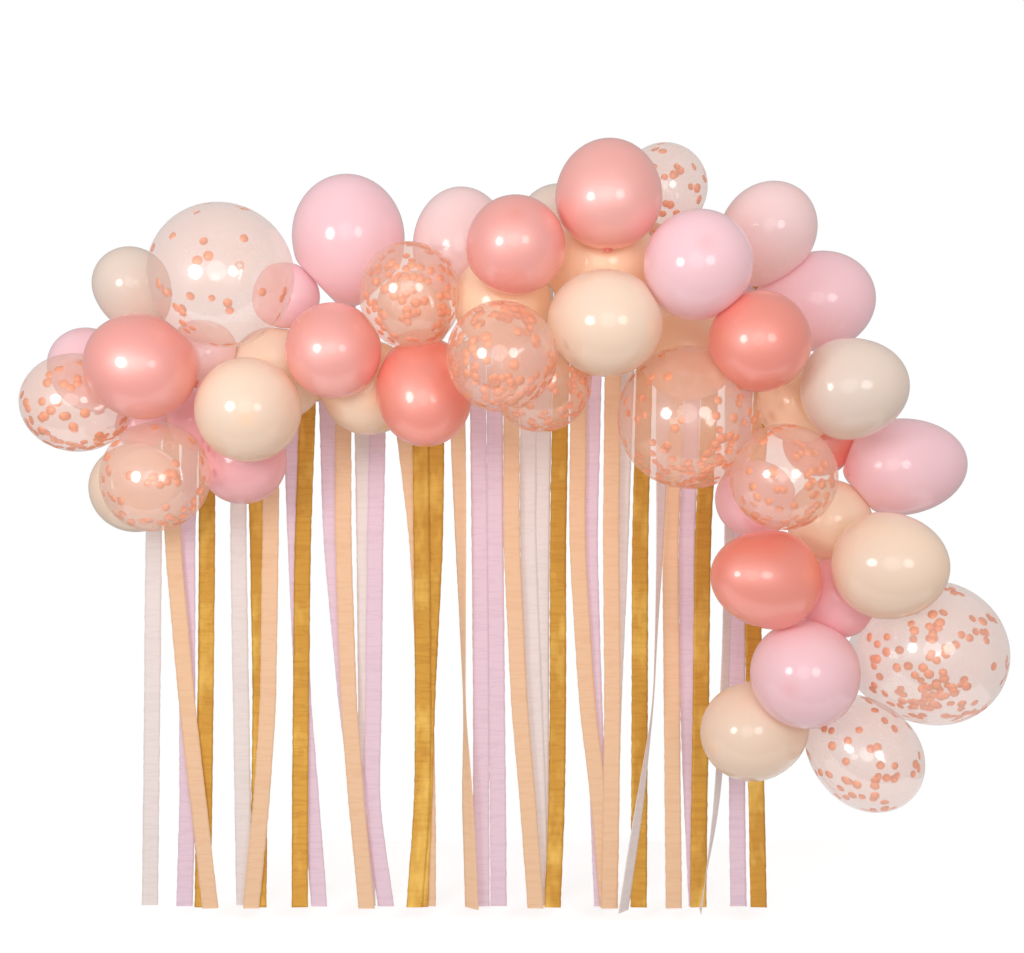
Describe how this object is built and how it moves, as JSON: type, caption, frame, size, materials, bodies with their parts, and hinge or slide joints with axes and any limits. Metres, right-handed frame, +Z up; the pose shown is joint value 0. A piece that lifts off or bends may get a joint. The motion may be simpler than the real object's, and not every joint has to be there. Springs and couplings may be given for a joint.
{
  "type": "balloon garland",
  "caption": "Asymmetric arched garland of round and oval latex balloons on a clear strip, with straight crepe paper streamers hanging behind it.",
  "frame": {"origin": "middle of the underside of the strip's level crown, where the top hook's arm carries it", "axes": "+X to the viewer's right along the garland, +Y back towards the wall, +Z up; the balloons face -Y"},
  "size_m": [2.4322, 0.6738, 2.0353],
  "materials": {
    "rose_pearl_latex": "glossy pearl",
    "coral_pearl_latex": "glossy pearl",
    "pink_latex": "smooth satin",
    "blush_latex": "smooth satin",
    "peach_latex": "smooth satin",
    "ivory_latex": "smooth satin",
    "clear_latex": "glossy, see-through",
    "gold_crepe_paper": "metallic crepe",
    "peach_crepe_paper": "matt crepe",
    "lilac_crepe_paper": "matt crepe",
    "ivory_crepe_paper": "matt crepe",
    "clear_plastic": "clear, glossy",
    "rose_gold_confetti": "metallic tissue discs"
  },
  "bodies": {
    "root": {"blush_balloon_1": "blush_latex", "blush_balloon_2": "blush_latex", "blush_balloon_3": "blush_latex", "confetti_balloon_1": "clear_latex", "confetti_balloon_10": "clear_latex", "confetti_balloon_11": "clear_latex", "confetti_balloon_2": "clear_latex", "confetti_balloon_3": "clear_latex", "confetti_balloon_4": "clear_latex", "confetti_balloon_5": "clear_latex", "confetti_balloon_6": "clear_latex", "confetti_balloon_7": "clear_latex", "confetti_balloon_8": "clear_latex", "confetti_balloon_9": "clear_latex", "coral_balloon_1": "coral_pearl_latex", "coral_balloon_2": "coral_pearl_latex", "coral_balloon_3": "coral_pearl_latex", "coral_balloon_4": "coral_pearl_latex", "decorating_strip": "clear_plastic", "gold_streamer_1": "gold_crepe_paper", "gold_streamer_2": "gold_crepe_paper", "gold_streamer_3": "gold_crepe_paper", "ivory_balloon_1": "ivory_latex", "ivory_balloon_2": "ivory_latex", "ivory_balloon_3": "ivory_latex", "ivory_streamer_1": "ivory_crepe_paper", "ivory_streamer_2": "ivory_crepe_paper", "ivory_streamer_3": "ivory_crepe_paper", "lilac_streamer_1": "lilac_crepe_paper", "lilac_streamer_2": "lilac_crepe_paper", "peach_balloon_1": "peach_latex", "peach_balloon_10": "peach_latex", "peach_balloon_11": "peach_latex", "peach_balloon_12": "peach_latex", "peach_balloon_13": "peach_latex", "peach_balloon_2": "peach_latex", "peach_balloon_3": "peach_latex", "peach_balloon_4": "peach_latex", "peach_balloon_5": "peach_latex", "peach_balloon_6": "peach_latex", "peach_balloon_7": "peach_latex", "peach_balloon_8": "peach_latex", "peach_balloon_9": "peach_latex", "peach_streamer_1": "peach_crepe_paper", "pink_balloon_1": "pink_latex", "pink_balloon_10": "pink_latex", "pink_balloon_11": "pink_latex", "pink_balloon_12": "pink_latex", "pink_balloon_2": "pink_latex", "pink_balloon_3": "pink_latex", "pink_balloon_4": "pink_latex", "pink_balloon_5": "pink_latex", "pink_balloon_6": "pink_latex", "pink_balloon_7": "pink_latex", "pink_balloon_8": "pink_latex", "pink_balloon_9": "pink_latex", "rose_balloon_1": "rose_pearl_latex", "rose_balloon_2": "rose_pearl_latex", "rose_balloon_3": "rose_pearl_latex", "rose_balloon_4": "rose_pearl_latex"}
  },
  "joints": []
}
